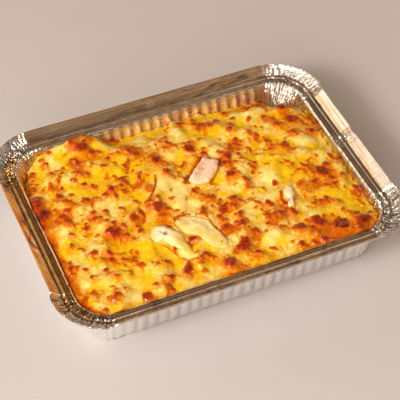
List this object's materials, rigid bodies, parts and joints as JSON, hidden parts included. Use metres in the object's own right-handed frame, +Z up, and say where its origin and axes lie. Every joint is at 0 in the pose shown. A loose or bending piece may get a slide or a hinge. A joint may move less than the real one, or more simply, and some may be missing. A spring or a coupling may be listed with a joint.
{
  "type": "baked pasta in a foil tray",
  "caption": "Oblong bake of pasta and chicken under a browned, blistered cheese crust, set in a fluted aluminium foil tray with a flat ledge and a raised, crimped rim.",
  "frame": {"origin": "middle of the tray's flat underside", "axes": "+X along the tray's length, +Y across it, +Z up out of the tray"},
  "size_m": [0.2682, 0.2028, 0.045],
  "materials": {
    "foil": "thin pressed aluminium foil, satin to bright, crimped and finely creased, with warm reflections of the food",
    "cheese_crust": "melted cheese, cream to yellow and oily, browned in round blisters from orange to dark red-brown",
    "chicken": "cooked chicken breast, pinkish white to cream, fibrous and moist"
  },
  "bodies": {
    "root": {"foil_tray": "foil", "pasta_bake": "cheese_crust", "chicken_chunk": "chicken", "chicken_curl": "chicken", "chicken_slice": "chicken", "chicken_bit": "chicken"}
  },
  "joints": []
}
